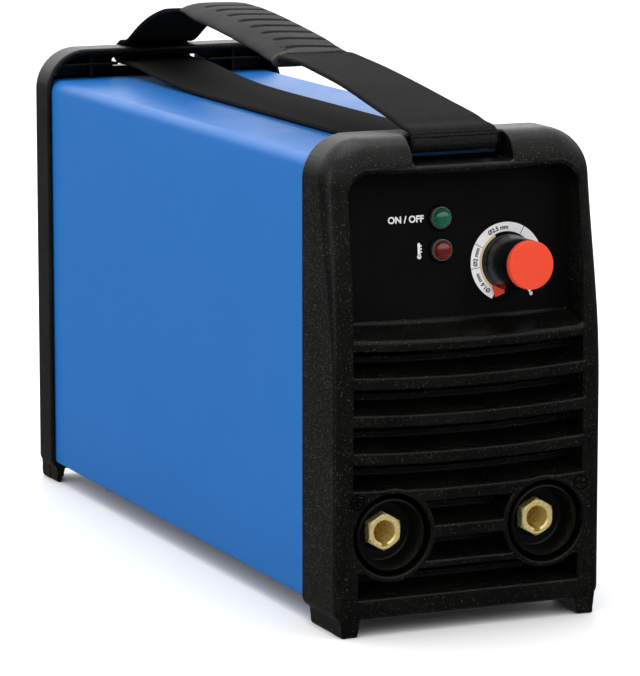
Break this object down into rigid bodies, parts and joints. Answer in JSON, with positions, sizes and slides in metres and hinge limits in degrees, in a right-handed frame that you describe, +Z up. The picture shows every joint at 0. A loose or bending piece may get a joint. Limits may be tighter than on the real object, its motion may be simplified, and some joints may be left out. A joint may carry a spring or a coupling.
{
  "type": "stick welding inverter",
  "caption": "Portable stick welding inverter: folded blue cover between two black bezels, with a looped strap, output sockets, current knob, louvres, fan and mains switch.",
  "frame": {"origin": "on the floor, under the centre of the bounding box", "axes": "+Z up, the front with the sockets and the knob faces -Y, +X to the right seen from the front"},
  "size_m": [0.119, 0.3843, 0.2319],
  "materials": {
    "case_black": "moulded black plastic with a fine grain",
    "sheet_blue": "semi-gloss powder coat",
    "zinc_steel": "zinc-plated steel",
    "webbing_black": "woven polyester webbing",
    "grip_black": "soft moulded grip",
    "film_black": "printed film",
    "scale_white": "white print",
    "lamp_green": "translucent green lens",
    "lamp_red": "translucent red lens",
    "knob_black": "satin black",
    "cap_orange": "satin red-orange",
    "insulator_black": "glass-filled nylon",
    "brass": "turned brass",
    "copper": "bare copper",
    "aluminium": "extruded",
    "board_green": "circuit board",
    "component_black": "moulded component",
    "component_colour": "moulded component",
    "ferrite": "sintered ferrite",
    "wire_insulation": "insulated wire",
    "rocker_red": "red rocker",
    "fan_black": "moulded fan"
  },
  "bodies": {
    "root": {"front_panel": "case_black", "rear_panel": "case_black", "cover": "sheet_blue", "base_tray": "zinc_steel", "cover_screws": "zinc_steel", "front_panel_screws": "zinc_steel", "rear_panel_screws": "zinc_steel", "handle_strap": "webbing_black", "handle_grip": "grip_black", "control_film": "film_black", "dial_scale": "scale_white", "power_lamp_lens": "lamp_green", "thermal_lamp_lens": "lamp_red", "lamp_holders": "knob_black", "potentiometer_body": "component_colour", "potentiometer_nut": "zinc_steel", "control_board": "board_green", "control_standoffs": "zinc_steel", "positive_insulator": "insulator_black", "negative_insulator": "insulator_black", "positive_insert": "brass", "negative_insert": "brass", "socket_nuts": "brass", "output_bus_bars": "copper", "fan_frame": "fan_black", "fan_bearing": "brass", "fan_guard": "zinc_steel", "fan_screws": "zinc_steel", "switch_housing": "insulator_black", "gland_body": "insulator_black", "gland_dome_nut": "insulator_black", "gland_locknut": "insulator_black", "earth_stud": "brass", "mains_terminal_block": "scale_white", "power_board": "board_green", "board_standoffs": "zinc_steel", "bulk_capacitors": "component_black", "bridge_rectifier": "component_black", "filter_choke": "ferrite", "soft_start_relay": "component_colour", "auxiliary_transformer": "component_colour", "switching_transistors": "component_black", "primary_heatsink": "aluminium", "output_diodes": "component_black", "secondary_heatsink": "aluminium", "transformer_core": "ferrite", "transformer_windings": "copper", "choke_core": "ferrite", "choke_winding": "copper", "ribbon_cable": "wire_insulation", "mains_leads": "wire_insulation"},
    "knob": {"knob_body": "knob_black", "knob_cap": "cap_orange", "knob_pointer": "cap_orange", "potentiometer_shaft": "zinc_steel"},
    "fan_rotor": {"fan_rotor": "fan_black"},
    "power_rocker": {"switch_rocker": "rocker_red"}
  },
  "joints": [
    {"name": "current_knob_turn", "type": "hinge", "parent": "root", "child": "knob", "pos_m": [0.024, -0.16779, 0.1466], "axis": [0, 0.9969, -0.0785], "range_deg": [0, 295]},
    {"name": "power_rocker_tilt", "type": "hinge", "parent": "root", "child": "power_rocker", "pos_m": [-0.027, 0.16671, 0.158], "axis": [1, 0, 0], "range_deg": [0, 20]},
    {"name": "fan_spin", "type": "hinge", "parent": "root", "child": "fan_rotor", "pos_m": [0, 0.15221, 0.074], "axis": [0, 1, 0], "continuous": true}
  ]
}
